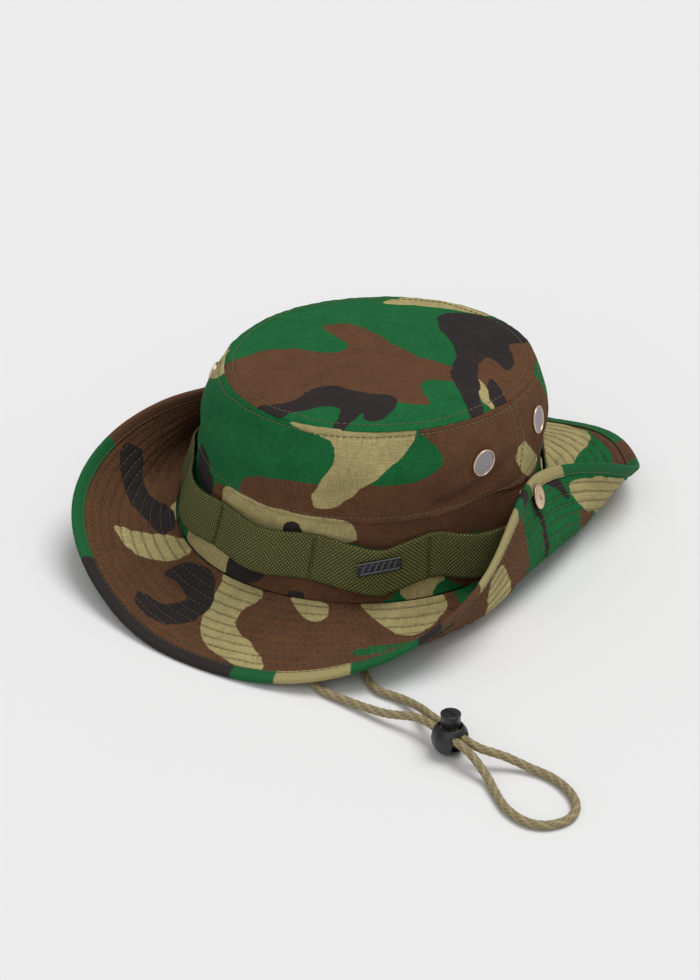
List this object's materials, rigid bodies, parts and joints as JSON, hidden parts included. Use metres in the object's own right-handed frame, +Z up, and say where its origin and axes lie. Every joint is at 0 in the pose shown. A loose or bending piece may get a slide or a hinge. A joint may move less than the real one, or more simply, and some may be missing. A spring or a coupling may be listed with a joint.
{
  "type": "boonie hat",
  "caption": "Wide-brimmed cloth sun hat with camouflage cloth, a webbing band, side brim flaps that snap up to the crown, mesh vents and a chin cord with a sprung ball lock.",
  "frame": {"origin": "on the table under the middle of the hat without its cord, at the height of the lowest part of the brim", "axes": "-Y is the front of the hat, +X is the left-hand side of the person who wears it, +Z is up through the crown"},
  "size_m": [0.3241, 0.3254, 0.102],
  "materials": {
    "camo_cloth": "woodland camouflage ripstop cotton, matt",
    "interlining": "undyed stiffening cloth between the brim layers",
    "binding_tape": "camouflage cloth tape folded round the edge, matt",
    "webbing_olive": "woven olive webbing",
    "lining_tape": "plain olive cotton tape, matt",
    "vent_metal": "nickel with a faint rose tint, satin",
    "snap_metal": "pale copper plate, satin",
    "badge_metal": "dark gunmetal, satin",
    "cord_olive": "braided olive brown cord, matt",
    "lock_plastic": "moulded black plastic",
    "spring_steel": "bright spring wire"
  },
  "bodies": {
    "hat": {"crown_top_panel": "camo_cloth", "crown_front_panel": "camo_cloth", "crown_back_panel": "camo_cloth", "crown_front_lower_band": "camo_cloth", "crown_back_lower_band": "camo_cloth", "brim_upper": "camo_cloth", "brim_lower": "camo_cloth", "brim_interlining": "interlining", "binding_front": "binding_tape", "binding_back": "binding_tape", "webbing_band": "webbing_olive", "left_cord_tab": "webbing_olive", "right_cord_tab": "webbing_olive", "sweatband": "lining_tape", "crown_seam_tape": "lining_tape", "top_seam_tape": "lining_tape", "left_front_vent_eyelet": "vent_metal", "left_front_vent_washer": "vent_metal", "left_front_vent_screen": "vent_metal", "left_back_vent_eyelet": "vent_metal", "left_back_vent_washer": "vent_metal", "left_back_vent_screen": "vent_metal", "left_snap_stud": "snap_metal", "left_snap_post": "snap_metal", "right_front_vent_eyelet": "vent_metal", "right_front_vent_washer": "vent_metal", "right_front_vent_screen": "vent_metal", "right_back_vent_eyelet": "vent_metal", "right_back_vent_washer": "vent_metal", "right_back_vent_screen": "vent_metal", "right_snap_stud": "snap_metal", "right_snap_post": "snap_metal", "pin_badge": "badge_metal", "badge_push_nut_1": "badge_metal", "badge_push_nut_2": "badge_metal", "chin_cord": "cord_olive"},
    "left_brim": {"left_flap_upper": "camo_cloth", "left_flap_lower": "camo_cloth", "left_flap_interlining": "interlining", "left_flap_binding": "binding_tape", "left_snap_cap": "snap_metal", "left_snap_socket": "snap_metal"},
    "right_brim": {"right_flap_upper": "camo_cloth", "right_flap_lower": "camo_cloth", "right_flap_interlining": "interlining", "right_flap_binding": "binding_tape", "right_snap_cap": "snap_metal", "right_snap_socket": "snap_metal"},
    "cord_lock": {"lock_barrel": "lock_plastic", "lock_spring": "spring_steel"},
    "lock_button_body": {"lock_plunger": "lock_plastic"}
  },
  "joints": [
    {"name": "left_brim_fold", "type": "hinge", "parent": "hat", "child": "left_brim", "pos_m": [0.1033, 0, 0.0053], "axis": [0, 1, 0], "range_deg": [0, 65]},
    {"name": "right_brim_fold", "type": "hinge", "parent": "hat", "child": "right_brim", "pos_m": [-0.0967, 0, 0.0053], "axis": [0, -1, 0], "range_deg": [0, 65]},
    {"name": "cord_lock_slide", "type": "slide", "parent": "hat", "child": "cord_lock", "axis": [0.9466, -0.3223, 0], "range_m": [0, 0.005]},
    {"name": "lock_button", "type": "slide", "parent": "cord_lock", "child": "lock_button_body", "axis": [0, 0, -1], "range_m": [0, 0.0025], "stiffness_N_per_m": 800, "springref_m": -0.002, "deforming": ["lock_spring"]}
  ]
}
